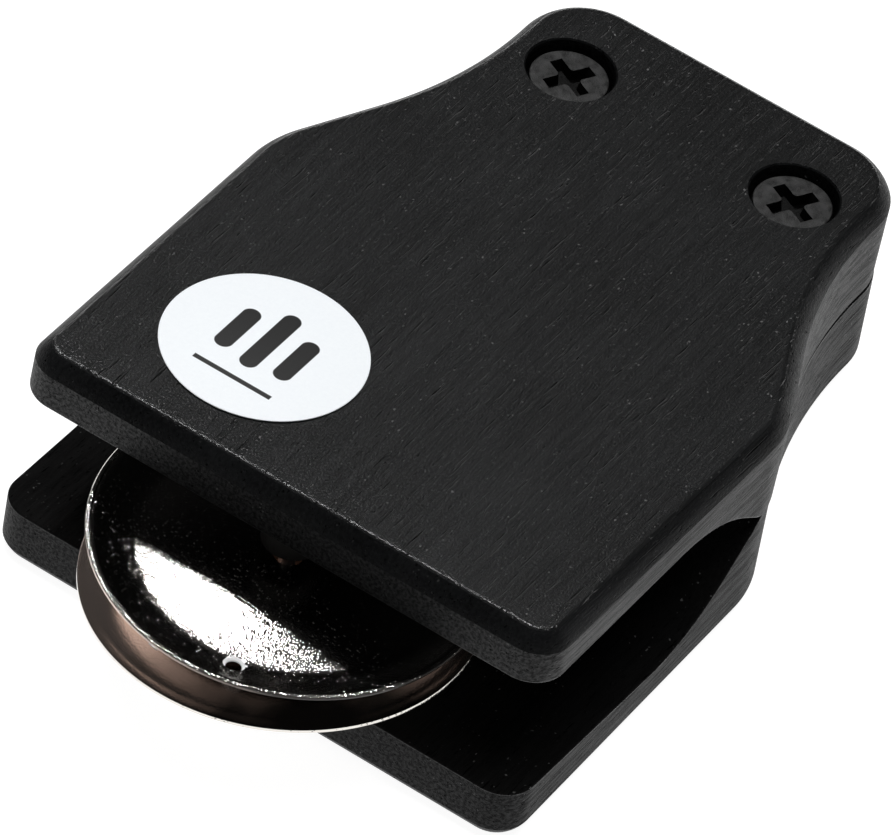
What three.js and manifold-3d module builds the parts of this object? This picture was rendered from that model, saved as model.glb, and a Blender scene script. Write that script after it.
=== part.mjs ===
// Jingle castanet: two hardwood boards screwed together at their narrow rear end, with their wide
// front ends held apart. A pair of crowned steel jingles rides loosely on a steel pin between two short
// dowels, one glued in each board, and sticks out past the boards' front edge.
// Millimetres. X across the boards, Y from the open front end to the clamped rear end, +Z up.
// The lower board's outer face lies on z = 0. The pieces are built with the upper board's front edge
// near y = 0, and moved along Y at the end so that the origin is in the middle of the footprint.

import * as THREE from 'three';
import { mergeVertices } from 'three/addons/utils/BufferGeometryUtils.js';
import Module from 'manifold-3d';

const wasm = await Module();
wasm.setup();

// ---------- driving dimensions ----------
const LENGTH = 111.5;            // front edge to rear edge
const WIDTH = 82;                // across the front half
const NECK_WIDTH = 56.5;         // across the rear end
const FRONT_CORNER_R = 5;
const SHOULDER_R = 18.3;         // convex turn from the wide half into the taper
const NECK_R = 65.6;             // hollow turn from the taper into the rear end
const REAR_CORNER_R = 10;
const TAPER_ANGLE = THREE.MathUtils.degToRad(24.5);
const NECK_STRAIGHT_Y = LENGTH - 11.3;

const OPEN_ANGLE = THREE.MathUtils.degToRad(4.1);   // between the two boards' outer faces
const UPPER_REAR = 14.3;         // thickness of the upper board at the rear edge
const LOWER_REAR = 15.5;
const UPPER_FRONT = 7.7;         // and at the front edge
const LOWER_FRONT = 9.5;
const THIN_THICKNESS = 7.0;      // where the relief is deepest
const THIN_Y = 34;
const LAND_Y = 58;               // front end of the flat clamping land
const EDGE_R = 2.5;              // round on the outer face's rim
const BOARD_GAP = 0.3;           // seam between the two lands
const LOWER_FORWARD = 0.7;       // the lower board sits this much further forward,
const LOWER_TURN = THREE.MathUtils.degToRad(-0.4);  // and is screwed on a little askew

const SCREW_X = 17.8;
const SCREW_Y = LENGTH - 15.7;
const SCREW_SUNK = 1.4;          // head's flat below the board's outer face
const COUNTERBORE_R = 6.15;
const HEAD_R = 5.5;
const HEAD_THICKNESS = 2.4;
const SHANK_R = 2.1;
const THREAD_R = 2.6;
const SCREW_LENGTH = 25.5;       // head's flat to the point
const THREAD_LENGTH = 18;
const THREAD_PITCH = 2.25;
const POINT_LENGTH = 4;
const SCREW_GAP = 0.3;
const CROSS_SPAN = 7.3;
const CROSS_WIDTH = 1.9;
const CROSS_DEPTH = 1.5;
const CROSS_TURN = THREE.MathUtils.degToRad(-27);

const JINGLE_R = 26.6;
const SHEET = 0.5;               // jingle sheet thickness
const GROOVE_R = 20;             // lowest ring of a jingle, round its shallow crown
const CROWN_HEIGHT = 0.9;        // middle over the groove
const DISH_DEPTH = 2.15;         // bend at the rim over the groove
const LIP_HEIGHT = 0.8;          // rim turned up past the bend
const JINGLE_HOLE_R = 2.0;
const DRAIN_HOLE_R = 1.1;        // small second hole near the rim
const DRAIN_HOLE_AT = 21;        // from the middle
const DRAIN_HOLE_TURN = THREE.MathUtils.degToRad(-75);
const JINGLE_X = -0.3;
const JINGLE_Y = 4.2;            // pin axis behind the front edge, at the jingles
const JINGLE_Z = 21.7;           // height half-way between the two jingles
const JINGLE_GAP = 0.3;          // between a jingle's middle and the dowel under or over it
const JINGLE_APART = 2.0;        // between the two grooves, which lie a little askew
const UPPER_LEAN = THREE.MathUtils.degToRad(1.4);    // each jingle hangs a little askew
const LOWER_LEAN = THREE.MathUtils.degToRad(-3.2);

const POST_R = 4.0;
const POST_SOCKET = 4.0;         // depth of the lower dowel in its board
const UPPER_POST_LENGTH = 7.5;
const PIN_R = 1.1;
const PIN_PLAY = 0.7;            // round the pin in the upper dowel's bore
const RATTLE = 2.4;              // free travel of the pair along the pin
const FIT = 0.1;                 // glue line round a dowel or the pin

const LABEL_X = -17.7;
const LABEL_Y = 21.5;
const LABEL_R = 13.9;
const LABEL_THICKNESS = 0.2;
const LABEL_GAP = 0.1;

const ROUND = 28;                // segments round a small turned piece
const WIDE_ROUND = 48;           // and round a jingle or the label

// ---------- materials ----------
const stainedWood = new THREE.MeshStandardMaterial({ color: 0x1c1c1e, roughness: 0.6, metalness: 0 });
const dowelWood = new THREE.MeshStandardMaterial({ color: 0x241f1b, roughness: 0.7, metalness: 0 });
const nickel = new THREE.MeshStandardMaterial({ color: 0xc9c9c6, roughness: 0.18, metalness: 1 });
const blackOxide = new THREE.MeshStandardMaterial({ color: 0x2b2b2d, roughness: 0.45, metalness: 0.8 });
const steel = new THREE.MeshStandardMaterial({ color: 0x9a9a98, roughness: 0.3, metalness: 1 });
const whiteFilm = new THREE.MeshStandardMaterial({ color: 0xf2f4f6, roughness: 0.25, metalness: 0 });

// ---------- booleans ----------
function toSolid(geometry) {
  const bare = geometry.clone();
  bare.deleteAttribute('normal');
  bare.deleteAttribute('uv');
  const merged = mergeVertices(bare, 1e-4);
  return new wasm.Manifold(new wasm.Mesh({
    numProp: 3,
    vertProperties: new Float32Array(merged.attributes.position.array),
    triVerts: new Uint32Array(merged.index.array),
  }));
}

function toGeometry(solid) {
  const mesh = solid.getMesh();
  const geometry = new THREE.BufferGeometry();
  geometry.setAttribute('position', new THREE.BufferAttribute(mesh.vertProperties, 3));
  geometry.setIndex(new THREE.BufferAttribute(mesh.triVerts, 1));
  geometry.computeVertexNormals();
  return geometry;
}

function cut(geometry, ...tools) {
  return toGeometry(tools.reduce((solid, tool) => solid.subtract(toSolid(tool)), toSolid(geometry)));
}

// ---------- small shape helpers ----------
// A cylinder along +Z whose lower end is at z.
function rod(radius, z, height, x = 0, y = 0, segments = ROUND) {
  const geometry = new THREE.CylinderGeometry(radius, radius, height, segments);
  return geometry.rotateX(Math.PI / 2).translate(x, y, z + height / 2);
}

// A turned piece: [radius, height] points revolved about +Z, counter-clockwise in section.
function turned(points, segments) {
  const profile = points.map(([radius, height]) => new THREE.Vector2(radius, height));
  return new THREE.LatheGeometry(profile, segments).rotateX(Math.PI / 2);
}

// ---------- boards ----------
function boardOutline() {
  const half = WIDTH / 2;
  const neck = NECK_WIDTH / 2;
  const sin = Math.sin(TAPER_ANGLE);
  const cos = Math.cos(TAPER_ANGLE);
  const neckEndX = neck + NECK_R * (1 - cos);
  const neckEndY = NECK_STRAIGHT_Y - NECK_R * sin;
  const shoulderEndX = half - SHOULDER_R * (1 - cos);
  const shoulderEndY = neckEndY - (shoulderEndX - neckEndX) * (cos / sin);
  const shoulderY = shoulderEndY - SHOULDER_R * sin;
  const shape = new THREE.Shape();
  shape.absarc(half - FRONT_CORNER_R, FRONT_CORNER_R, FRONT_CORNER_R, -Math.PI / 2, 0);
  shape.absarc(half - SHOULDER_R, shoulderY, SHOULDER_R, 0, TAPER_ANGLE);
  shape.absarc(neck + NECK_R, NECK_STRAIGHT_Y, NECK_R, Math.PI + TAPER_ANGLE, Math.PI, true);
  shape.absarc(neck - REAR_CORNER_R, LENGTH - REAR_CORNER_R, REAR_CORNER_R, 0, Math.PI / 2);
  shape.absarc(REAR_CORNER_R - neck, LENGTH - REAR_CORNER_R, REAR_CORNER_R, Math.PI / 2, Math.PI);
  shape.absarc(-neck - NECK_R, NECK_STRAIGHT_Y, NECK_R, 0, -TAPER_ANGLE, true);
  shape.absarc(SHOULDER_R - half, shoulderY, SHOULDER_R, Math.PI - TAPER_ANGLE, Math.PI);
  shape.absarc(FRONT_CORNER_R - half, FRONT_CORNER_R, FRONT_CORNER_R, Math.PI, 1.5 * Math.PI);
  shape.closePath();
  return shape;
}

// Height of the clamping land over the outer face: the lands tilt so that the fronts stand open.
function landHeight(y, rear) {
  return rear + (LENGTH - y) * Math.tan(OPEN_ANGLE / 2);
}

// Everything above the inner face, as one block running right across the board.
function innerFaceCutter(rear, front) {
  const over = 10;
  const floorSlope = (front - THIN_THICKNESS) / THIN_Y;
  const toeHandle = 14;
  const topHandle = 4;
  const top = 3 * rear;
  const shape = new THREE.Shape();
  shape.moveTo(-over, front + over * floorSlope);
  shape.lineTo(THIN_Y, THIN_THICKNESS);
  shape.bezierCurveTo(THIN_Y + toeHandle, THIN_THICKNESS, LAND_Y - topHandle, landHeight(LAND_Y - topHandle, rear),
    LAND_Y, landHeight(LAND_Y, rear));
  shape.lineTo(LENGTH + over, landHeight(LENGTH + over, rear));
  shape.lineTo(LENGTH + over, top);
  shape.lineTo(-over, top);
  shape.closePath();
  const across = WIDTH + 2 * over;
  const block = new THREE.ExtrudeGeometry(shape, { depth: across, bevelEnabled: false, curveSegments: 10 });
  // the shape's (x, y) become the row's (Y, Z), and its depth runs along X
  return block.applyMatrix4(new THREE.Matrix4().set(
    0, 0, 1, -across / 2,
    1, 0, 0, 0,
    0, 1, 0, 0,
    0, 0, 0, 1));
}

// One board with its outer face on z = 0, its inner face up.
function blankBoard(rear, front) {
  const slab = new THREE.ExtrudeGeometry(boardOutline(), {
    depth: 2 * rear,
    curveSegments: 4,
    bevelEnabled: true,
    bevelThickness: EDGE_R,
    bevelSize: EDGE_R,
    bevelOffset: -EDGE_R,
    bevelSegments: 4,
  }).translate(0, 0, EDGE_R);
  return cut(slab, innerFaceCutter(rear, front));
}

// ---------- placing the lower board and the turned-over upper board ----------
const lowerPlace = new THREE.Matrix4()
  .makeTranslation(0, SCREW_Y - LOWER_FORWARD, 0)
  .multiply(new THREE.Matrix4().makeRotationZ(LOWER_TURN))
  .multiply(new THREE.Matrix4().makeTranslation(0, -SCREW_Y, 0));
const upperPlace = new THREE.Matrix4()
  .makeTranslation(0, LENGTH, UPPER_REAR + LOWER_REAR + BOARD_GAP)
  .multiply(new THREE.Matrix4().makeRotationX(-OPEN_ANGLE))
  .multiply(new THREE.Matrix4().makeTranslation(0, -LENGTH, 0));
const turnOver = new THREE.Matrix4().makeRotationY(Math.PI);

// The pin's frame: on the boards' mid plane, square to it, its origin half-way between the jingles.
const pinPlace = new THREE.Matrix4()
  .makeTranslation(JINGLE_X, JINGLE_Y, JINGLE_Z)
  .multiply(new THREE.Matrix4().makeRotationX(-OPEN_ANGLE / 2));

// Heights along the pin's frame
const STACK = JINGLE_APART / 2 + CROWN_HEIGHT + SHEET + JINGLE_GAP;
const LOWER_POST_TOP = -STACK;
const UPPER_POST_END = STACK + RATTLE;
const LOWER_POST_FOOT = LOWER_FRONT - POST_SOCKET - JINGLE_Z;
const UPPER_POST_HEAD = UPPER_POST_END + UPPER_POST_LENGTH;
const PIN_FOOT = LOWER_POST_TOP - 8;
const PIN_TOP = UPPER_POST_END + 3;

// ---------- screws ----------
// In the frame of the upper board: outer face z = 0, wood below.
function screwCross(turn) {
  const arm = new THREE.BoxGeometry(CROSS_SPAN, CROSS_WIDTH, 2 * CROSS_DEPTH);
  return arm.rotateZ(turn);
}

function screw() {
  const throat = -HEAD_THICKNESS;
  const threadTop = POINT_LENGTH + THREAD_LENGTH - SCREW_LENGTH;
  const chamfer = 0.35;
  const profile = [[0, -SCREW_LENGTH]];
  const turns = THREAD_LENGTH / THREAD_PITCH;
  for (let i = 0; i < turns; i += 1) {
    const root = -SCREW_LENGTH + POINT_LENGTH + i * THREAD_PITCH;
    profile.push([SHANK_R * 0.8, root]);
    profile.push([THREAD_R, root + THREAD_PITCH / 2]);
  }
  profile.push([SHANK_R * 0.8, threadTop]);
  profile.push([SHANK_R, threadTop + chamfer]);
  profile.push([SHANK_R, throat]);
  profile.push([HEAD_R, throat]);
  profile.push([HEAD_R, -chamfer]);
  profile.push([HEAD_R - chamfer, 0]);
  profile.push([0, 0]);
  const body = turned(profile, ROUND);
  return cut(body, screwCross(CROSS_TURN), screwCross(CROSS_TURN + Math.PI / 2));
}

function counterbore(x) {
  const depth = SCREW_SUNK + HEAD_THICKNESS + SCREW_GAP;
  return rod(COUNTERBORE_R, -depth, depth + 1, x, SCREW_Y);
}

function screwHole(x) {
  const depth = SCREW_SUNK + SCREW_LENGTH + SCREW_GAP;
  return rod(THREAD_R + SCREW_GAP, -depth, depth, x, SCREW_Y);
}

// ---------- jingles ----------
// Height over the groove: a shallow crown inside it, and a dish that curves up outside it.
function rise(r) {
  const bend = JINGLE_R - 0.9;
  if (r < GROOVE_R) return CROWN_HEIGHT * (1 - (r / GROOVE_R) ** 2) ** 1.5;
  return DISH_DEPTH * ((r - GROOVE_R) / (bend - GROOVE_R)) ** 1.6;
}

// One disc, hollow side up, the underside of its groove on z = 0.
function jingle() {
  const steps = [JINGLE_HOLE_R, 6, 10, 14, 17, GROOVE_R, 21.5, 23, 24.4, JINGLE_R - 0.9];
  const lower = steps.map((r) => [r, rise(r)]);
  const upper = lower.slice(1).map(([r, z]) => [r - 0.12, z + SHEET]).reverse();
  const lip = DISH_DEPTH + LIP_HEIGHT;
  const rim = [
    [JINGLE_R, DISH_DEPTH + 0.35],
    [JINGLE_R, lip],
    [JINGLE_R - SHEET, lip],
    [JINGLE_R - SHEET - 0.1, DISH_DEPTH + 0.6],
  ];
  const hole = [[JINGLE_HOLE_R, lower[0][1] + SHEET], lower[0]];
  const x = DRAIN_HOLE_AT * Math.cos(DRAIN_HOLE_TURN);
  const y = DRAIN_HOLE_AT * Math.sin(DRAIN_HOLE_TURN);
  const disc = turned([...lower, ...rim, ...upper, ...hole], WIDE_ROUND);
  return cut(disc, rod(DRAIN_HOLE_R, -1, 2 * DISH_DEPTH + 2, x, y, 16));
}

// ---------- assembly ----------
const assembly = new THREE.Group();

function add(name, geometry, material, place) {
  const mesh = new THREE.Mesh(geometry, material);
  mesh.name = name;
  if (place) mesh.applyMatrix4(place);
  assembly.add(mesh);
  return mesh;
}

// Each board is cut in its own frame.
const screwSides = [['screw_left', -SCREW_X], ['screw_right', SCREW_X]];
const intoLower = lowerPlace.clone().invert();
const lowerSocket = rod(POST_R + FIT, LOWER_POST_FOOT - FIT, 20)
  .applyMatrix4(pinPlace)
  .applyMatrix4(intoLower);
const upperSocket = rod(POST_R + FIT, UPPER_POST_HEAD + FIT - 20, 20)
  .applyMatrix4(pinPlace)
  .applyMatrix4(upperPlace.clone().invert());
const counterbores = screwSides.map(([name, x]) => counterbore(x));
const screwHoles = screwSides.map(([name, x]) => screwHole(x));
const pilotHoles = screwHoles.map((hole) => hole.clone().applyMatrix4(upperPlace).applyMatrix4(intoLower));

const lowerBlank = blankBoard(LOWER_REAR, LOWER_FRONT);
const upperBlank = blankBoard(UPPER_REAR, UPPER_FRONT).applyMatrix4(turnOver);
add('lower_board', cut(lowerBlank, lowerSocket, ...pilotHoles), stainedWood, lowerPlace);
add('upper_board', cut(upperBlank, upperSocket, ...counterbores, ...screwHoles), stainedWood, upperPlace);

for (const [name, x] of screwSides) {
  const seat = new THREE.Matrix4().makeTranslation(x, SCREW_Y, -SCREW_SUNK);
  add(name, screw(), blackOxide, upperPlace.clone().multiply(seat));
}

const pinBore = rod(PIN_R + FIT, PIN_FOOT - FIT, LOWER_POST_TOP - PIN_FOOT + 1);
add('lower_post', cut(rod(POST_R, LOWER_POST_FOOT, LOWER_POST_TOP - LOWER_POST_FOOT), pinBore),
  dowelWood, pinPlace);
const upperBore = rod(PIN_R + PIN_PLAY, UPPER_POST_END - 1, PIN_TOP - UPPER_POST_END + 2);
add('upper_post', cut(rod(POST_R, UPPER_POST_END, UPPER_POST_HEAD - UPPER_POST_END), upperBore),
  dowelWood, pinPlace);
add('jingle_pin', rod(PIN_R, PIN_FOOT, PIN_TOP - PIN_FOOT), steel, pinPlace);

const upperSeat = new THREE.Matrix4().makeTranslation(0, 0, JINGLE_APART / 2)
  .multiply(new THREE.Matrix4().makeRotationY(UPPER_LEAN));
const lowerSeat = new THREE.Matrix4().makeTranslation(0, 0, -JINGLE_APART / 2)
  .multiply(new THREE.Matrix4().makeRotationY(LOWER_LEAN))
  .multiply(turnOver);
add('upper_jingle', jingle(), nickel, pinPlace.clone().multiply(upperSeat));
add('lower_jingle', jingle(), nickel, pinPlace.clone().multiply(lowerSeat));

add('round_label', rod(LABEL_R, LABEL_GAP, LABEL_THICKNESS, LABEL_X, LABEL_Y, WIDE_ROUND), whiteFilm, upperPlace);

// ---------- origin in the middle of the footprint ----------
const footprint = new THREE.Box3().setFromObject(assembly, true);
const middle = footprint.getCenter(new THREE.Vector3());
for (const mesh of assembly.children) mesh.position.y -= middle.y;

export default assembly;
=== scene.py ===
"""Looks of the jingle castanet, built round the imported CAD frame.

Pieces are modelled in millimetres and turned into metres when their mesh is made. A board is modelled
in its own frame: X across, y = 0 at its front edge, outer face on z = 0 and wood above it.
"""

import math

import bmesh
import bpy
import numpy as np
from mathutils import Matrix, Vector


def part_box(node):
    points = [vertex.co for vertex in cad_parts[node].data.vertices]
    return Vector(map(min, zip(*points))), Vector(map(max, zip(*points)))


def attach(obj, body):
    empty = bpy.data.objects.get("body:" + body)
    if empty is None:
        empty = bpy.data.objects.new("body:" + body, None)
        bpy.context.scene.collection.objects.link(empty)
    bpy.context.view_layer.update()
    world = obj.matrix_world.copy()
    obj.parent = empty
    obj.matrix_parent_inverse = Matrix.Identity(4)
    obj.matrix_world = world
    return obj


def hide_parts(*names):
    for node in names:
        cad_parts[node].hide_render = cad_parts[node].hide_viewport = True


MM = 0.001

# ---------- sizes of the CAD part, in millimetres ----------
LENGTH = 111.5
WIDTH = 82.0
NECK_WIDTH = 56.5
FRONT_CORNER_R = 5.0
SHOULDER_R = 18.3
NECK_R = 65.6
REAR_CORNER_R = 10.0
TAPER = math.radians(24.5)
NECK_STRAIGHT_Y = LENGTH - 11.3
OPEN_ANGLE = math.radians(4.1)
UPPER_REAR = 14.3
LOWER_REAR = 15.5
UPPER_FRONT = 7.7
LOWER_FRONT = 9.5
THIN_THICKNESS = 7.0
THIN_Y = 34.0
LAND_Y = 58.0
EDGE_R = 2.5
BOARD_GAP = 0.3
LOWER_FORWARD = 0.7
LOWER_TURN = math.radians(-0.4)

SCREW_X = 17.8
SCREW_Y = LENGTH - 15.7
SCREW_SUNK = 1.4
COUNTERBORE_R = 6.15
HEAD_R = 5.5
HEAD_THICKNESS = 2.4
SHANK_R = 2.1
THREAD_R = 2.6
SCREW_LENGTH = 25.5
THREAD_LENGTH = 18.0
THREAD_PITCH = 2.25
POINT_LENGTH = 4.0
CROSS_SPAN = 7.3
CROSS_WIDTH = 1.9
CROSS_DEPTH = 1.5
CROSS_TURN = math.radians(-27)

JINGLE_R = 26.6
SHEET = 0.5
DISH_DEPTH = 2.15
GROOVE_R = 20.0
BEND_R = JINGLE_R - 0.9
CROWN_HEIGHT = 0.9
LIP_HEIGHT = 0.8
JINGLE_HOLE_R = 2.0
DRAIN_HOLE_R = 1.1
DRAIN_HOLE_AT = 21.0
DRAIN_HOLE_TURN = math.radians(-75)
JINGLE_X = -0.3
JINGLE_Y = 4.2
JINGLE_Z = 21.7
JINGLE_GAP = 0.3
JINGLE_APART = 2.0
UPPER_LEAN = math.radians(1.4)
LOWER_LEAN = math.radians(-3.2)
POST_R = 4.0
POST_SOCKET = 4.0
UPPER_POST_LENGTH = 7.5
PIN_R = 1.1
PIN_PLAY = 0.7
RATTLE = 2.4
FIT = 0.1

LABEL_X = -17.7
LABEL_Y = 21.5
LABEL_R = 13.9
LABEL_THICKNESS = 0.2
LABEL_GAP = 0.1

# ---------- small edges that only the looks need ----------
RIM_ROUND = 0.35
RIM_BREAK = math.radians(38)
RIM_END = math.radians(66)
BOARD_SHARP = 15
FACE_BORDER = 0.4
HOLE_BREAK = 0.2
DRAIN_HOLE_BREAK = 0.4

# ---------- floor ----------
FLOOR_GAP = 0.1

# ---------- camera ----------
AZIMUTH = math.radians(26.15)
ELEVATION = math.radians(45.70)
ROLL = math.radians(10.49)
AIM_X, AIM_Y, AIM_Z = -0.25, 42.43, 19.0
DISTANCE = 1.718
LENS = 530.6
SENSOR = 36.0

# ---------- placing ----------
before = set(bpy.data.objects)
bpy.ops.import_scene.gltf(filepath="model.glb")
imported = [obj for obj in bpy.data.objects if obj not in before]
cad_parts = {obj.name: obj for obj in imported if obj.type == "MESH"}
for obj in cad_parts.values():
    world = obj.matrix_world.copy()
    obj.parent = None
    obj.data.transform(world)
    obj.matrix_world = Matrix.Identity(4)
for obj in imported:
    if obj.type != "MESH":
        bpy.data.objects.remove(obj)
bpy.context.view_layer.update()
# The row's origin is in the middle of the footprint; the boards are drawn from their front edge.
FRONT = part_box("upper_board")[1].y / MM - LENGTH + EDGE_R * math.sin(OPEN_ANGLE)
SHIFT = Matrix.Translation((0, FRONT * MM, 0))


def shifted(x, y, z):
    return Matrix.Translation((x * MM, y * MM, z * MM))


UPPER_PLACE = (
    SHIFT
    @ shifted(0, LENGTH, UPPER_REAR + LOWER_REAR + BOARD_GAP)
    @ Matrix.Rotation(-OPEN_ANGLE, 4, "X")
    @ shifted(0, -LENGTH, 0)
)
LOWER_PLACE = (
    SHIFT
    @ shifted(0, SCREW_Y - LOWER_FORWARD, 0)
    @ Matrix.Rotation(LOWER_TURN, 4, "Z")
    @ shifted(0, -SCREW_Y, 0)
)
PIN_PLACE = SHIFT @ shifted(JINGLE_X, JINGLE_Y, JINGLE_Z) @ Matrix.Rotation(-OPEN_ANGLE / 2, 4, "X")
TURN_OVER = Matrix.Rotation(math.pi, 4, "Y")

STACK = JINGLE_APART / 2 + CROWN_HEIGHT + SHEET + JINGLE_GAP
LOWER_POST_TOP = -STACK
UPPER_POST_END = STACK + RATTLE
LOWER_POST_FOOT = LOWER_FRONT - POST_SOCKET - JINGLE_Z
UPPER_POST_HEAD = UPPER_POST_END + UPPER_POST_LENGTH
PIN_FOOT = LOWER_POST_TOP - 8
PIN_TOP = UPPER_POST_END + 3


# ---------- mesh helpers ----------
def piece(name, vertices, faces, place, sharp=32):
    """A closed mesh given in millimetres, smooth but for its sharp edges."""
    mesh = bpy.data.meshes.new(name)
    mesh.from_pydata([tuple(v) for v in np.asarray(vertices) * MM], [], faces)
    edit = bmesh.new()
    edit.from_mesh(mesh)
    bmesh.ops.recalc_face_normals(edit, faces=edit.faces)
    edit.to_mesh(mesh)
    edit.free()
    obj = bpy.data.objects.new(name, mesh)
    bpy.context.scene.collection.objects.link(obj)
    obj.matrix_world = place
    soften(mesh, sharp)
    return obj


def soften(mesh, sharp):
    mesh.polygons.foreach_set("use_smooth", [True] * len(mesh.polygons))
    mesh.set_sharp_from_angle(angle=math.radians(sharp))
    mesh.update()


def carve(obj, cutters, sharp=32):
    """Takes the cutters' volume out of obj, and removes the cutters."""
    for cutter in cutters:
        cut = obj.modifiers.new("cut", "BOOLEAN")
        cut.operation = "DIFFERENCE"
        cut.solver = "EXACT"
        cut.object = cutter
    bpy.context.view_layer.update()
    graph = bpy.context.evaluated_depsgraph_get()
    made = bpy.data.meshes.new_from_object(obj.evaluated_get(graph))
    obj.modifiers.clear()
    obj.data = made
    soften(made, sharp)
    for cutter in cutters:
        bpy.data.objects.remove(cutter)


def lathe(name, profile, place, segments=192, sharp=32):
    """Revolves (radius, height) points about Z. A profile that starts and ends on the axis is closed."""
    turns = [2 * math.pi * k / segments for k in range(segments)]
    on_axis = profile[0][0] == 0
    ring_points = profile[1:-1] if on_axis else profile
    vertices = [(r * math.cos(t), r * math.sin(t), z) for r, z in ring_points for t in turns]
    count = len(ring_points)
    faces = []
    for i in range(count - 1 if on_axis else count):
        low = i * segments
        high = (i + 1) % count * segments
        for k in range(segments):
            after = (k + 1) % segments
            faces.append((low + k, low + after, high + after, high + k))
    if on_axis:
        faces.append(tuple(range(segments)))
        faces.append(tuple(range((count - 1) * segments, count * segments)))
    return piece(name, vertices, faces, place, sharp)


def rod_profile(radius, low, high, edge=0.2):
    """Profile of a rod with small rounded ends."""
    bend = [(edge * (1 - math.cos(a)), edge * (1 - math.sin(a))) for a in np.linspace(0, math.pi / 2, 5)]
    lower = [(radius - across, low + up) for across, up in reversed(bend)]
    upper = [(radius - across, high - up) for across, up in bend]
    return [(0, low), *lower, *upper, (0, high)]


# ---------- boards ----------
def arc(x, y, radius, start, end, count):
    return [(x + radius * math.cos(a), y + radius * math.sin(a)) for a in np.linspace(start, end, count)]


def between(a, b, count):
    """Points on the straight line from a to b, its ends left out."""
    shares = np.linspace(0, 1, count + 2)[1:-1]
    return [(a[0] + (b[0] - a[0]) * s, a[1] + (b[1] - a[1]) * s) for s in shares]


def right_side(inset):
    """The outline's right half from the front corner to the rear corner, moved inwards by inset."""
    half = WIDTH / 2
    neck = NECK_WIDTH / 2
    neck_end_x = neck + NECK_R * (1 - math.cos(TAPER))
    neck_end_y = NECK_STRAIGHT_Y - NECK_R * math.sin(TAPER)
    shoulder_end_x = half - SHOULDER_R * (1 - math.cos(TAPER))
    shoulder_end_y = neck_end_y - (shoulder_end_x - neck_end_x) / math.tan(TAPER)
    shoulder_y = shoulder_end_y - SHOULDER_R * math.sin(TAPER)
    front = arc(half - FRONT_CORNER_R, FRONT_CORNER_R, FRONT_CORNER_R - inset, -math.pi / 2, 0, 14)
    shoulder = arc(half - SHOULDER_R, shoulder_y, SHOULDER_R - inset, 0, TAPER, 16)
    hollow = arc(neck + NECK_R, NECK_STRAIGHT_Y, NECK_R + inset, math.pi + TAPER, math.pi, 30)
    rear = arc(neck - REAR_CORNER_R, LENGTH - REAR_CORNER_R, REAR_CORNER_R - inset, 0, math.pi / 2, 16)
    points = front + between(front[-1], shoulder[0], 36) + shoulder
    points += between(shoulder[-1], hollow[0], 16) + hollow
    points += between(hollow[-1], rear[0], 2) + rear
    return np.array(points)


def land_height(y, rear):
    return rear + (LENGTH - y) * math.tan(OPEN_ANGLE / 2)


def inner_height(y, rear, front):
    """Height of the inner face over the outer face: hollowed front, S-shaped step, clamping land."""
    toe = np.array((THIN_Y + 14, THIN_THICKNESS))
    top = np.array((LAND_Y - 4, land_height(LAND_Y - 4, rear)))
    start = np.array((THIN_Y, THIN_THICKNESS))
    end = np.array((LAND_Y, land_height(LAND_Y, rear)))
    t = np.linspace(0, 1, 200)[:, None]
    curve = (1 - t) ** 3 * start + 3 * (1 - t) ** 2 * t * toe + 3 * (1 - t) * t**2 * top + t**3 * end
    slope = (front - THIN_THICKNESS) / THIN_Y
    step = np.interp(y, curve[:, 0], curve[:, 1])
    relief = THIN_THICKNESS + (THIN_Y - y) * slope
    return np.where(y < THIN_Y, relief, np.where(y > LAND_Y, land_height(y, rear), step))


def rim_radii():
    """Radii of the rim's two bends, which together are as wide and as deep as EDGE_R."""
    across = (math.sin(RIM_BREAK), math.sin(RIM_END) - math.sin(RIM_BREAK))
    down = (1 - math.cos(RIM_BREAK), math.cos(RIM_BREAK) - math.cos(RIM_END))
    return np.linalg.solve((across, down), (EDGE_R, EDGE_R))


def board(name, place, rear, front):
    """One board as a stack of outlines: outer face, rounded rim, sides, small inner round, inner face.

    The rim starts with a tight bend, goes on in a broad one and meets the sides in a crisp line.
    """
    tight, broad = rim_radii()
    tight_turns = np.linspace(0, RIM_BREAK, 7)
    outer = [(EDGE_R - tight * math.sin(a), tight * (1 - math.cos(a))) for a in tight_turns]
    break_inset, break_depth = outer[-1]
    for a in np.linspace(RIM_BREAK, RIM_END, 6)[1:]:
        across = broad * (math.sin(a) - math.sin(RIM_BREAK))
        down = broad * (math.cos(RIM_BREAK) - math.cos(a))
        outer.append((break_inset - across, break_depth + down))
    quarter = np.linspace(0, math.pi / 2, 8)
    inner = [(RIM_ROUND * (1 - math.cos(a)), RIM_ROUND * (1 - math.sin(a))) for a in quarter]
    levels = [(EDGE_R + FACE_BORDER, 0, False), *((i, z, False) for i, z in outer)]
    levels += [*((i, below, True) for i, below in inner), (RIM_ROUND + FACE_BORDER, 0, True)]
    vertices = []
    for inset, height, from_inner in levels:
        side = right_side(inset)
        inner_z = inner_height(side[:, 1], rear, front)
        z = inner_z - height if from_inner else np.full(len(side), height)
        half = np.column_stack((side, z))
        vertices.append(half)
        vertices.append((half * (-1, 1, 1))[::-1])
    count = 2 * len(vertices[0])
    faces = []
    for level in range(len(levels) - 1):
        low = level * count
        for k in range(count):
            after = (k + 1) % count
            faces.append((low + k, low + after, low + count + after, low + count + k))
    for low in (0, (len(levels) - 1) * count):
        for k in range(count // 2 - 1):
            faces.append((low + k, low + k + 1, low + count - 2 - k, low + count - 1 - k))
    return piece(name, np.concatenate(vertices), faces, place, BOARD_SHARP)


def cylinder_cutter(radius, low, high, place, flare=0.0):
    """A cutter whose mouth, at the height 0, is flared to break the hole's edge."""
    profile = [(0, low), (radius, low)]
    if flare:
        profile += [(radius, -flare), (radius + flare, 0), (radius + flare, high)]
    else:
        profile += [(radius, high)]
    profile += [(0, high)]
    return lathe("cutter", profile, place, 96)


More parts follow.
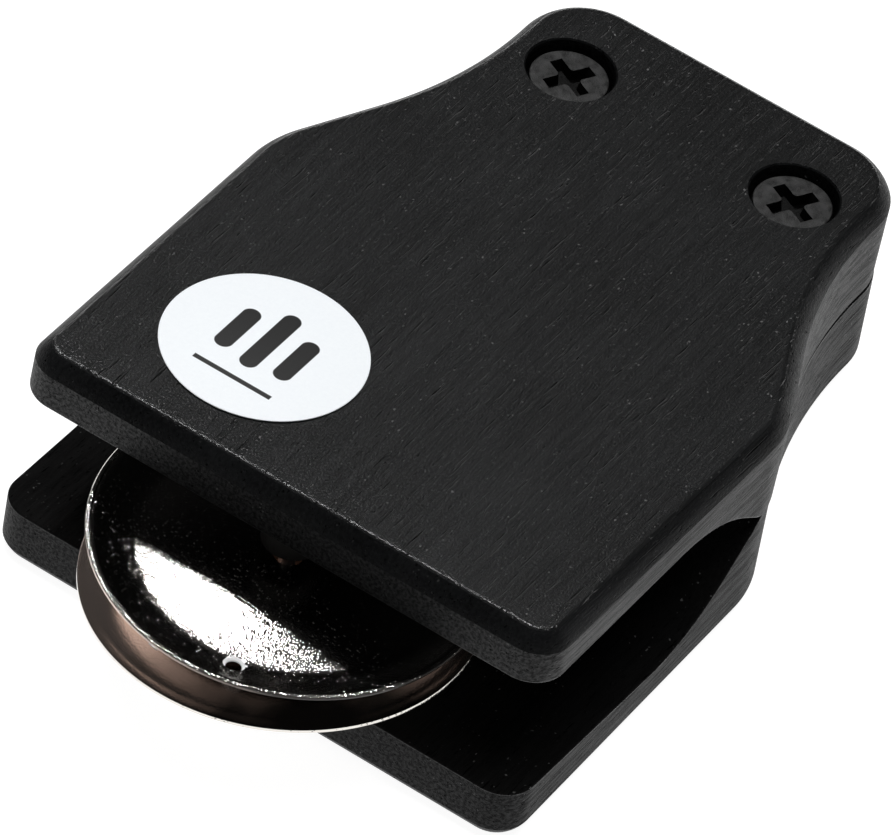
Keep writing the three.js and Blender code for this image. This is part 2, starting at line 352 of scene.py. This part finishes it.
def screw_place(x, down=0.0):
    return UPPER_PLACE @ shifted(x, SCREW_Y, -down)


def boards():
    lower = board("lower_board_wood", LOWER_PLACE, LOWER_REAR, LOWER_FRONT)
    upper = board("upper_board_wood", UPPER_PLACE @ TURN_OVER, UPPER_REAR, UPPER_FRONT)
    post_r = POST_R + FIT
    lower_cuts = [cylinder_cutter(post_r, LOWER_POST_FOOT - FIT, LOWER_POST_FOOT + 10, PIN_PLACE)]
    upper_cuts = [cylinder_cutter(post_r, UPPER_POST_HEAD - 10, UPPER_POST_HEAD + FIT, PIN_PLACE)]
    seat = SCREW_SUNK + HEAD_THICKNESS + 0.3
    depth = SCREW_SUNK + SCREW_LENGTH + 0.3
    for x in (-SCREW_X, SCREW_X):
        upper_cuts.append(cylinder_cutter(COUNTERBORE_R, -seat, 1, screw_place(x), HOLE_BREAK))
        upper_cuts.append(cylinder_cutter(THREAD_R + 0.3, -depth, -seat + 0.5, screw_place(x)))
        lower_cuts.append(cylinder_cutter(THREAD_R + 0.3, -depth, -seat, screw_place(x)))
    carve(lower, lower_cuts, BOARD_SHARP)
    carve(upper, upper_cuts, BOARD_SHARP)
    for obj in (lower, upper):
        for face in obj.data.polygons:
            face.material_index = wood_finish(face)
    return lower, upper


def wood_finish(face):
    """Place in the board's list of woods: 0 outer face, 1 inner face, 2 sides, 3 rounded rim."""
    steep = abs(face.normal.z)
    inside = face.center.z > 0.6 * THIN_THICKNESS * MM
    if steep < 0.2:
        return 2
    if steep < 0.87 and not inside:
        return 3
    if inside and face.normal.z > 0.5:
        return 1
    return 0


# ---------- screws ----------
def cross_cutter(place):
    """A four-armed recess: straight arms that narrow downwards, with rounded inner corners."""
    half = CROSS_SPAN / 2
    wide = CROSS_WIDTH / 2
    round_in = 0.55
    outline = []
    for quarter in range(4):
        turn = Matrix.Rotation(quarter * math.pi / 2, 2)
        corner = wide + round_in
        bend = [
            (corner - round_in * math.sin(a), corner - round_in * math.cos(a))
            for a in np.linspace(math.pi / 2, 0, 5)
        ]
        arm = [(half, -wide), (half, wide), *((y, x) for x, y in bend)]
        outline += [tuple(turn @ Vector(p)) for p in arm]
    count = len(outline)
    shrink = 0.8
    vertices = [(x, y, 1.0) for x, y in outline]
    vertices += [(x, y, 0.0) for x, y in outline]
    vertices += [(x * shrink, y * shrink, -CROSS_DEPTH) for x, y in outline]
    faces = [tuple(range(count)), tuple(range(2 * count, 3 * count))]
    for low in (0, count):
        for k in range(count):
            after = (k + 1) % count
            faces.append((low + k, low + after, low + count + after, low + count + k))
    return piece("cutter", vertices, faces, place @ Matrix.Rotation(CROSS_TURN, 4, "Z"))


def screw(name, x):
    """Pan head wood screw, the flat of its head on z = 0."""
    place = screw_place(x, SCREW_SUNK)
    edge = 0.35
    thread_top = POINT_LENGTH + THREAD_LENGTH - SCREW_LENGTH
    profile = [(0, -SCREW_LENGTH), (0.15, -SCREW_LENGTH + 0.2)]
    for turn in range(int(THREAD_LENGTH / THREAD_PITCH)):
        root = -SCREW_LENGTH + POINT_LENGTH + turn * THREAD_PITCH
        profile += [(SHANK_R * 0.8, root), (THREAD_R - 0.1, root + THREAD_PITCH * 0.44)]
        profile += [(THREAD_R - 0.1, root + THREAD_PITCH * 0.56)]
    profile += [(SHANK_R * 0.8, thread_top), (SHANK_R, thread_top + edge)]
    profile += [(SHANK_R, -HEAD_THICKNESS), (HEAD_R, -HEAD_THICKNESS)]
    for a in np.linspace(0, math.pi / 2, 6):
        profile.append((HEAD_R - edge * (1 - math.cos(a)), -edge * (1 - math.sin(a))))
    profile.append((0, 0))
    body = lathe(name, profile, place, 96)
    carve(body, [cross_cutter(place)], 25)
    # faces in the cross recess take the painted shade, the rest the oxide
    for face in body.data.polygons:
        in_reach = math.hypot(face.center.x, face.center.y) < 0.75 * CROSS_SPAN * MM
        in_recess = -1.1 * CROSS_DEPTH * MM < face.center.z < -0.05 * MM
        face.material_index = 1 if in_reach and in_recess else 0
    return body


# ---------- jingles ----------
def rise(r):
    """Height over the groove: a shallow crown inside it, and a rim that curves up outside it."""
    if r < GROOVE_R:
        return CROWN_HEIGHT * (1 - (r / GROOVE_R) ** 2) ** 1.5
    return DISH_DEPTH * ((r - GROOVE_R) / (BEND_R - GROOVE_R)) ** 1.6


def jingle(name, place):
    """A crowned disc, hollow side up, with its rim turned up.

    Its materials are for the hollow side, the underside, the rim's outer wall and the drain hole's edge.
    """
    lip = DISH_DEPTH + LIP_HEIGHT
    small = 0.12
    radii = np.linspace(JINGLE_HOLE_R + small, BEND_R, 60)
    under = [(r, rise(r)) for r in radii]
    over = [(r - small, rise(r) + SHEET) for r in radii[::-1]]
    rim = [
        (JINGLE_R - 0.3, DISH_DEPTH + 0.1),
        (JINGLE_R - 0.05, DISH_DEPTH + 0.3),
        (JINGLE_R, DISH_DEPTH + 0.5),
        (JINGLE_R, lip - small),
        (JINGLE_R - small, lip),
        (JINGLE_R - SHEET, lip),
        (JINGLE_R - SHEET - small, lip - small),
        (JINGLE_R - SHEET - 0.2, DISH_DEPTH + 0.55),
    ]
    hole_foot = rise(JINGLE_HOLE_R + small)
    hole = [(JINGLE_HOLE_R, hole_foot + SHEET - small), (JINGLE_HOLE_R, hole_foot + small)]
    disc = lathe(name, under + rim + over + hole, place, 256)
    x = DRAIN_HOLE_AT * math.cos(DRAIN_HOLE_TURN)
    y = DRAIN_HOLE_AT * math.sin(DRAIN_HOLE_TURN)
    mouth = place @ shifted(x, y, rise(DRAIN_HOLE_AT) + SHEET)
    carve(disc, [cylinder_cutter(DRAIN_HOLE_R, -4, 1, mouth, DRAIN_HOLE_BREAK)])
    wall_r = (JINGLE_R - 0.3) * MM
    edge_r = (DRAIN_HOLE_R + DRAIN_HOLE_BREAK + 0.01) * MM
    for face in disc.data.polygons:
        # the drain hole's edge takes the painted highlight
        if math.hypot(face.center.x - x * MM, face.center.y - y * MM) < edge_r:
            face.material_index = 3
        elif face.normal.z < -0.3:
            face.material_index = 1
        elif face.normal.z < 0.3 and math.hypot(face.center.x, face.center.y) > wall_r:
            face.material_index = 2
    return disc


# ---------- material helpers ----------
class Nodes:
    """A short way to build one material's node tree."""

    def __init__(self, name):
        self.material = bpy.data.materials.new(name)
        self.material.use_nodes = True
        self.tree = self.material.node_tree
        self.shader = self.tree.nodes["Principled BSDF"]

    def add(self, kind, **inputs):
        node = self.tree.nodes.new(kind)
        for key, value in inputs.items():
            self.feed(node.inputs[key.replace("_", " ")], value)
        return node

    def feed(self, socket, value):
        if isinstance(value, bpy.types.NodeSocket):
            self.tree.links.new(value, socket)
        else:
            socket.default_value = value

    def calc(self, operation, a, b=0.0, clamp=False):
        node = self.tree.nodes.new("ShaderNodeMath")
        node.operation = operation
        node.use_clamp = clamp
        self.feed(node.inputs[0], a)
        self.feed(node.inputs[1], b)
        return node.outputs[0]

    def square(self, value):
        return self.calc("MULTIPLY", value, value)

    def place(self, scale, turn=(0, 0, 0), offset=(0, 0, 0)):
        """The piece's own coordinates in millimetres, divided by scale."""
        own = self.tree.nodes.new("ShaderNodeAttribute")
        own.attribute_name = "own"
        mapping = self.add("ShaderNodeMapping", Vector=own.outputs["Vector"])
        mapping.inputs["Scale"].default_value = [1 / (MM * s) for s in scale]
        mapping.inputs["Rotation"].default_value = turn
        mapping.inputs["Location"].default_value = offset
        return mapping.outputs[0]

    def ramp(self, value, low, high, start=0.0, end=1.0):
        node = self.tree.nodes.new("ShaderNodeMapRange")
        self.feed(node.inputs["Value"], value)
        for key, number in (("From Min", low), ("From Max", high), ("To Min", start), ("To Max", end)):
            self.feed(node.inputs[key], number)
        return node.outputs[0]

    def mix(self, share, a, b):
        node = self.tree.nodes.new("ShaderNodeMix")
        node.data_type = "RGBA"
        self.feed(node.inputs[0], share)
        self.feed(node.inputs[6], a)
        self.feed(node.inputs[7], b)
        return node.outputs[2]

    def noise(self, vector, scale=1.0, detail=3.0, rough=0.5):
        node = self.add("ShaderNodeTexNoise", Vector=vector, Scale=scale, Detail=detail, Roughness=rough)
        return node.outputs[0]

    def bump(self, height, distance):
        """A normal from a height, and the distance in millimetres that a height of 1 stands for."""
        return self.add("ShaderNodeBump", Height=height, Distance=distance * MM, Strength=1.0).outputs[0]

    def finish(self, **inputs):
        for key, value in inputs.items():
            self.feed(self.shader.inputs[key.replace("_", " ")], value)
        return self.material


def grey(value, warm=0.0):
    return (value * (1 + warm), value, value * (1 - warm), 1)


# ---------- materials ----------
STAIN = (grey(0.002, -0.05), grey(0.007, -0.05))
RAW_STAIN = (grey(0.003), grey(0.006))


def pores(nodes, cell, radius, share, turn, offset):
    """Short pits along the grain, 1 in a pit's middle and 0 outside. A share of the cells has none."""
    vector = nodes.place(cell, turn, offset)
    wobble = nodes.add("ShaderNodeTexNoise", Vector=vector, Scale=1.3, Detail=1.0)
    shift = nodes.add("ShaderNodeVectorMath", Vector=vector)
    shift.operation = "ADD"
    nodes.feed(shift.inputs[1], wobble.outputs["Color"])
    cells = nodes.add("ShaderNodeTexVoronoi", Vector=shift.outputs[0], Scale=1.0)
    lot = nodes.add("ShaderNodeSeparateColor", Color=cells.outputs["Color"])
    reach = nodes.ramp(lot.outputs[0], share, 1.0, 0.0, radius)
    depth = nodes.calc("SUBTRACT", reach, cells.outputs["Distance"])
    return nodes.calc("MULTIPLY", depth, 2.2 / radius, clamp=True)


def stained_wood(name, seed, stain, rough, gloss, speck_lightness=0.12, polish=0.0, streaks=0.12):
    """Open-pored hardwood under stain, its grain along Y.

    stain is its darkest and lightest colour, speck_lightness how light the pale specks are, polish how
    much clear wax lies on it, and streaks how much the gloss changes across the grain.
    """
    nodes = Nodes(name)
    long_pores = pores(nodes, (0.45, 7.0, 0.45), 0.38, 0.1, (0, 0, 0.03), (seed, 0, 0))
    short_pores = pores(nodes, (0.4, 1.5, 0.4), 0.36, 0.3, (0, 0, -0.02), (0, seed, 3))
    patch = nodes.noise(nodes.place((2.2, 9.0, 2.2), offset=(seed, 4, 8)), detail=2.0)
    specks = pores(nodes, (0.5, 0.6, 0.5), 0.36, 0.7, (0, 0, 0), (4, 6, seed))
    fine = nodes.noise(nodes.place((0.22, 2.6, 0.22), offset=(seed, 2, 1)), detail=3.0, rough=0.6)
    grit = nodes.noise(nodes.place((0.3, 0.4, 0.3), offset=(seed, 9, 6)), detail=2.0, rough=0.6)
    streak = nodes.noise(nodes.place((0.5, 22.0, 0.5), offset=(seed, 7, 4)), detail=2.0)
    cloud = nodes.noise(nodes.place((16.0, 30.0, 16.0), offset=(seed, 5, 2)), detail=2.0)
    pits = nodes.calc("MAXIMUM", long_pores, nodes.calc("MULTIPLY", short_pores, 0.8))
    crowd = nodes.ramp(patch, 0.40, 0.58, 0.45, 1.0)
    pits = nodes.calc("MULTIPLY", pits, crowd)
    specks = nodes.calc("MULTIPLY", specks, nodes.ramp(patch, 0.46, 0.56, 0.0, 1.0), clamp=True)
    tone = nodes.calc("MULTIPLY", nodes.calc("ADD", streak, cloud), 0.5)
    colour = nodes.mix(nodes.ramp(tone, 0.35, 0.65), *stain)
    colour = nodes.mix(pits, colour, grey(0.0005))
    # pale specks mixed into the colour
    colour = nodes.mix(specks, colour, grey(speck_lightness))
    ridges = nodes.calc("ADD", nodes.calc("MULTIPLY", fine, 0.4), nodes.calc("MULTIPLY", grit, 0.3))
    height = nodes.calc("SUBTRACT", ridges, pits)
    normal = nodes.bump(height, 0.2)
    shine = nodes.ramp(pits, 0.0, 1.0, gloss, 0.03)
    shine = nodes.calc("MULTIPLY", shine, nodes.ramp(streak, 0.4, 0.6, 1 - streaks, 1 + streaks))
    return nodes.finish(
        Base_Color=colour,
        Roughness=nodes.ramp(fine, 0.3, 0.7, rough - 0.06, rough + 0.08),
        Specular_IOR_Level=shine,
        Normal=normal,
        Coat_Weight=polish,
        Coat_Roughness=0.13,
        Coat_Normal=normal,
    )


def board_woods(name, face_seed, side_seed, side_gloss, raw_wood, rim_wood):
    """The woods of one board: its outer face, inner face, sides and rounded rim."""
    face = stained_wood(f"stained_wood_{name}", face_seed, STAIN, 0.33, 0.33, polish=0.8)
    side_name = f"sanded_edge_wood_{name}"
    sides = stained_wood(side_name, side_seed, STAIN, 0.5, side_gloss, speck_lightness=0.1, streaks=0.5)
    return face, raw_wood, sides, rim_wood


def dowel_wood():
    nodes = Nodes("dowel_wood")
    grain = nodes.noise(nodes.place((0.5, 0.5, 6.0)), detail=4.0, rough=0.6)
    colour = nodes.mix(grain, grey(0.006, 0.1), grey(0.014, 0.12))
    normal = nodes.bump(grain, 0.08)
    return nodes.finish(Base_Color=colour, Roughness=0.6, Normal=normal)


def nickel():
    """Bright nickel plate, finely pebbled, with scattered raised grains that catch the light."""
    nodes = Nodes("bright_nickel")
    pebble = nodes.noise(nodes.place((0.22, 0.22, 0.22)), detail=1.0)
    grains = nodes.add("ShaderNodeTexVoronoi", Vector=nodes.place((0.38, 0.38, 0.38)), Scale=1.0)
    lot = nodes.add("ShaderNodeSeparateColor", Color=grains.outputs["Color"])
    reach = nodes.ramp(lot.outputs[0], 0.2, 1.0, 0.0, 0.5)
    away = grains.outputs["Distance"]
    dome = nodes.calc("SUBTRACT", nodes.square(reach), nodes.square(away))
    dome = nodes.calc("MULTIPLY", nodes.calc("MAXIMUM", dome, 0.0), 1.6)
    height = nodes.calc("ADD", nodes.calc("MULTIPLY", pebble, 0.22), dome)
    normal = nodes.bump(height, 0.16)
    broad = nodes.noise(nodes.place((3.0, 3.0, 3.0)), detail=2.0)
    rough = nodes.ramp(broad, 0.3, 0.7, 0.07, 0.10)
    return nodes.finish(Base_Color=(0.74, 0.71, 0.67, 1), Metallic=1.0, Roughness=rough, Normal=normal)


def painted_reflection_nickel(name, brown, black, side):
    """Nickel with a painted reflection, brown towards the left rear and nearly black towards the right
    front.

    side is 1 for a disc with its own X to the right, and -1 for one that is turned over.
    """
    nodes = Nodes(name)
    split = nodes.add("ShaderNodeSeparateXYZ", Vector=nodes.place((1, 1, 1)))
    cloud = nodes.noise(nodes.place((9.0, 9.0, 9.0)), detail=3.0)
    across = nodes.calc("SUBTRACT", split.outputs[1], nodes.calc("MULTIPLY", split.outputs[0], side))
    across = nodes.calc("ADD", across, nodes.calc("MULTIPLY", cloud, 16.0))
    # painted reflection: brown towards the left rear, nearly black towards the right front
    colour = nodes.mix(nodes.ramp(across, -26.0, 4.0), black, brown)
    pebble = nodes.noise(nodes.place((0.3, 0.3, 0.3)), detail=2.0, rough=0.6)
    normal = nodes.bump(pebble, 0.03)
    rough = nodes.ramp(cloud, 0.3, 0.7, 0.16, 0.26)
    return nodes.finish(Base_Color=colour, Metallic=1.0, Roughness=rough, Normal=normal)


def drain_edge_painted_highlight():
    """The drain hole's broken edge, given a pale colour that is a painted highlight."""
    nodes = Nodes("drain_edge_painted_highlight")
    marks = nodes.noise(nodes.place((0.15, 0.15, 0.15)), detail=2.0)
    colour = nodes.mix(marks, grey(0.7), grey(0.9))
    return nodes.finish(Base_Color=colour, Roughness=0.35, Normal=nodes.bump(marks, 0.02))


def black_oxide(name, dark, light):
    nodes = Nodes(name)
    grain = nodes.noise(nodes.place((0.25, 0.25, 0.25)), detail=3.0, rough=0.6)
    patch = nodes.noise(nodes.place((1.6, 1.6, 1.6)), detail=3.0)
    colour = nodes.mix(nodes.ramp(patch, 0.35, 0.65), grey(dark), grey(light))
    normal = nodes.bump(grain, 0.10)
    rough = nodes.ramp(patch, 0.3, 0.7, 0.38, 0.55)
    return nodes.finish(Base_Color=colour, Metallic=0.6, Roughness=rough, Normal=normal)


def drawn_steel():
    nodes = Nodes("drawn_steel")
    lines = nodes.noise(nodes.place((0.12, 0.12, 4.0)), detail=2.0)
    normal = nodes.bump(lines, 0.01)
    colour = nodes.mix(lines, grey(0.45), grey(0.62))
    return nodes.finish(Base_Color=colour, Metallic=1.0, Roughness=0.28, Normal=normal)


def label_film():
    """White film with a generic mark: three round-ended bars over a thin line."""
    nodes = Nodes("label_film")
    split = nodes.add("ShaderNodeSeparateXYZ", Vector=nodes.place((1, 1, 1)))
    x, y = split.outputs[0], split.outputs[1]
    ink = None
    bars = ((-4.6, 0.6, 3.2), (0.0, 1.4, 5.0), (4.6, 0.6, 3.2))
    for middle, centre, half in bars:
        across = nodes.calc("SUBTRACT", x, middle)
        up = nodes.calc("ABSOLUTE", nodes.calc("SUBTRACT", y, centre))
        past = nodes.calc("MAXIMUM", nodes.calc("SUBTRACT", up, half), 0.0)
        reach = nodes.calc("ADD", nodes.square(across), nodes.square(past))
        shape = nodes.ramp(nodes.calc("SQRT", reach), 1.35, 1.25)
        ink = shape if ink is None else nodes.calc("MAXIMUM", ink, shape)
    line_along = nodes.ramp(nodes.calc("ABSOLUTE", x), 6.05, 5.95)
    line_across = nodes.ramp(nodes.calc("ABSOLUTE", nodes.calc("ADD", y, 7.6)), 0.45, 0.35)
    line = nodes.calc("MULTIPLY", line_along, line_across)
    ink = nodes.calc("MAXIMUM", ink, line)
    fibre = nodes.noise(nodes.place((0.4, 0.4, 0.4)), detail=2.0)
    white = nodes.mix(fibre, (0.80, 0.83, 0.86, 1), (0.86, 0.89, 0.91, 1))
    colour = nodes.mix(ink, white, grey(0.01))
    normal = nodes.bump(fibre, 0.01)
    return nodes.finish(Base_Color=colour, Roughness=0.5, Normal=normal)


def floor_with_painted_glow():
    """Pale paint that glows, a painted pool of light: brightest under the part and dimmer far from it.
    """
    nodes = Nodes("floor_with_painted_glow")
    tone = nodes.noise(nodes.place((60.0, 60.0, 60.0)), detail=2.0)
    colour = nodes.mix(tone, grey(0.29), grey(0.31))
    away = nodes.add("ShaderNodeVectorMath", Vector=nodes.place((1, 1, 1)))
    away.operation = "LENGTH"
    # painted glow: emission falls from 0.94 near the part to 0.5 far from it
    glow = nodes.ramp(away.outputs["Value"], 180.0, 900.0, 0.94, 0.5)
    white = grey(1.0)
    return nodes.finish(Base_Color=colour, Roughness=0.7, Emission_Color=white, Emission_Strength=glow)


# ---------- assembly ----------
def settle(obj):
    """Moves obj's place into its vertices, and keeps its own coordinates for the materials."""
    mesh = obj.data
    own = np.zeros(3 * len(mesh.vertices), np.float32)
    mesh.vertices.foreach_get("co", own)
    mesh.attributes.new("own", "FLOAT_VECTOR", "POINT").data.foreach_set("vector", own)
    mesh.transform(obj.matrix_world)
    obj.matrix_world = Matrix.Identity(4)


def dress(obj, materials, body, node):
    settle(obj)
    for material in materials:
        obj.data.materials.append(material)
    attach(obj, body)
    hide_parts(node)


raw_wood = stained_wood("unpolished_wood", 7.0, RAW_STAIN, 0.75, 0.1)
rim_wood = stained_wood("rounded_rim_wood", 9.0, STAIN, 0.4, 0.1, speck_lightness=0.03)
lower_woods = board_woods("lower", 3.0, 13.0, 0.13, raw_wood, rim_wood)
upper_woods = board_woods("upper", 11.0, 5.0, 0.20, raw_wood, rim_wood)
lower_board, upper_board = boards()
dress(lower_board, lower_woods, "boards", "lower_board")
dress(upper_board, upper_woods, "boards", "upper_board")

# the second finish is a near-black painted shade for the cross recess
oxide_and_recess_shade = (black_oxide("black_oxide", 0.024, 0.070), black_oxide("recess_painted_shade", 0.001, 0.004))
dress(screw("screw_left_metal", -SCREW_X), oxide_and_recess_shade, "boards", "screw_left")
dress(screw("screw_right_metal", SCREW_X), oxide_and_recess_shade, "boards", "screw_right")

dowel = dowel_wood()
lower_post = lathe("lower_post_dowel", rod_profile(POST_R, LOWER_POST_FOOT, LOWER_POST_TOP), PIN_PLACE)
carve(lower_post, [cylinder_cutter(PIN_R + FIT, PIN_FOOT - FIT, LOWER_POST_TOP + 1, PIN_PLACE)])
upper_post = lathe("upper_post_dowel", rod_profile(POST_R, UPPER_POST_END, UPPER_POST_HEAD), PIN_PLACE)
carve(upper_post, [cylinder_cutter(PIN_R + PIN_PLAY, UPPER_POST_END - 1, PIN_TOP + 1, PIN_PLACE)])
dress(lower_post, (dowel,), "boards", "lower_post")
dress(upper_post, (dowel,), "boards", "upper_post")
pin = lathe("jingle_pin_rod", rod_profile(PIN_R, PIN_FOOT, PIN_TOP), PIN_PLACE, 64)
dress(pin, (drawn_steel(),), "boards", "jingle_pin")

bright = nickel()
drain_highlight = drain_edge_painted_highlight()
# colours of the painted reflection on the jingles' nickel
brown = (0.85, 0.70, 0.62, 1)
black = (0.04, 0.037, 0.035, 1)
upper_reflection_paint = painted_reflection_nickel("nickel_with_painted_reflection_upper", brown, black, 1.0)
lower_reflection_paint = painted_reflection_nickel("nickel_with_painted_reflection_lower", brown, black, -1.0)
upper_seat = PIN_PLACE @ shifted(0, 0, JINGLE_APART / 2) @ Matrix.Rotation(UPPER_LEAN, 4, "Y")
lower_seat = PIN_PLACE @ shifted(0, 0, -JINGLE_APART / 2) @ Matrix.Rotation(LOWER_LEAN, 4, "Y")
upper_disc = jingle("upper_jingle_disc", upper_seat)
lower_disc = jingle("lower_jingle_disc", lower_seat @ TURN_OVER)
upper_plate = (bright, upper_reflection_paint, upper_reflection_paint, drain_highlight)
lower_plate = (bright, lower_reflection_paint, bright, drain_highlight)
dress(upper_disc, upper_plate, "upper_jingle", "upper_jingle")
dress(lower_disc, lower_plate, "lower_jingle", "lower_jingle")

label_place = UPPER_PLACE @ shifted(LABEL_X, LABEL_Y, LABEL_GAP)
label = lathe("round_label_film", rod_profile(LABEL_R, 0, LABEL_THICKNESS, 0.08), label_place)
dress(label, (label_film(),), "boards", "round_label")


# ---------- stage ----------
def area_light(name, position, target, size, power, mirrored=True):
    data = bpy.data.lights.new(name, "AREA")
    data.shape = "RECTANGLE"
    data.size, data.size_y = size
    data.energy = power
    lamp = bpy.data.objects.new(name, data)
    lamp.location = position
    aim = Vector(target) - Vector(position)
    lamp.rotation_euler = aim.to_track_quat("-Z", "Y").to_euler()
    lamp.visible_glossy = mirrored
    bpy.context.scene.collection.objects.link(lamp)


def make_floor():
    half = 3000.0
    low = -FLOOR_GAP
    corners = [(-half, -half, low), (half, -half, low), (half, half, low), (-half, half, low)]
    plane = piece("floor", corners, [(0, 1, 2, 3)], Matrix.Identity(4))
    settle(plane)
    plane.data.materials.append(floor_with_painted_glow())


def make_world():
    world = bpy.data.worlds.new("studio")
    bpy.context.scene.world = world
    world.use_nodes = True
    background = world.node_tree.nodes["Background"]
    background.inputs["Color"].default_value = (1, 1, 1, 1)
    background.inputs["Strength"].default_value = 0.05


def make_camera():
    back = Vector((
        math.sin(AZIMUTH) * math.cos(ELEVATION),
        -math.cos(AZIMUTH) * math.cos(ELEVATION),
        math.sin(ELEVATION),
    ))
    level = Vector((math.cos(AZIMUTH), math.sin(AZIMUTH), 0))
    up = back.cross(level)
    right = level * math.cos(ROLL) + up * math.sin(ROLL)
    up = back.cross(right)
    data = bpy.data.cameras.new("camera")
    data.sensor_width = SENSOR
    data.lens = LENS
    data.clip_start = 0.1
    data.clip_end = 20
    camera = bpy.data.objects.new("camera", data)
    turn = Matrix((right, up, back)).transposed().to_4x4()
    aim = SHIFT @ shifted(AIM_X, AIM_Y, AIM_Z)
    camera.matrix_world = aim @ Matrix.Translation(back * DISTANCE) @ turn
    bpy.context.scene.collection.objects.link(camera)
    bpy.context.scene.camera = camera


make_floor()
make_world()
area_light("back_softbox", (-0.41, 0.52, 0.985), (0, 0, 0.02), (0.13, 0.105), 3.0)
area_light("overhead_fill", (0, 0.1, 1.6), (0, 0, 0), (1.4, 1.4), 27, mirrored=False)
make_camera()
bpy.context.scene.view_settings.view_transform = "Standard"
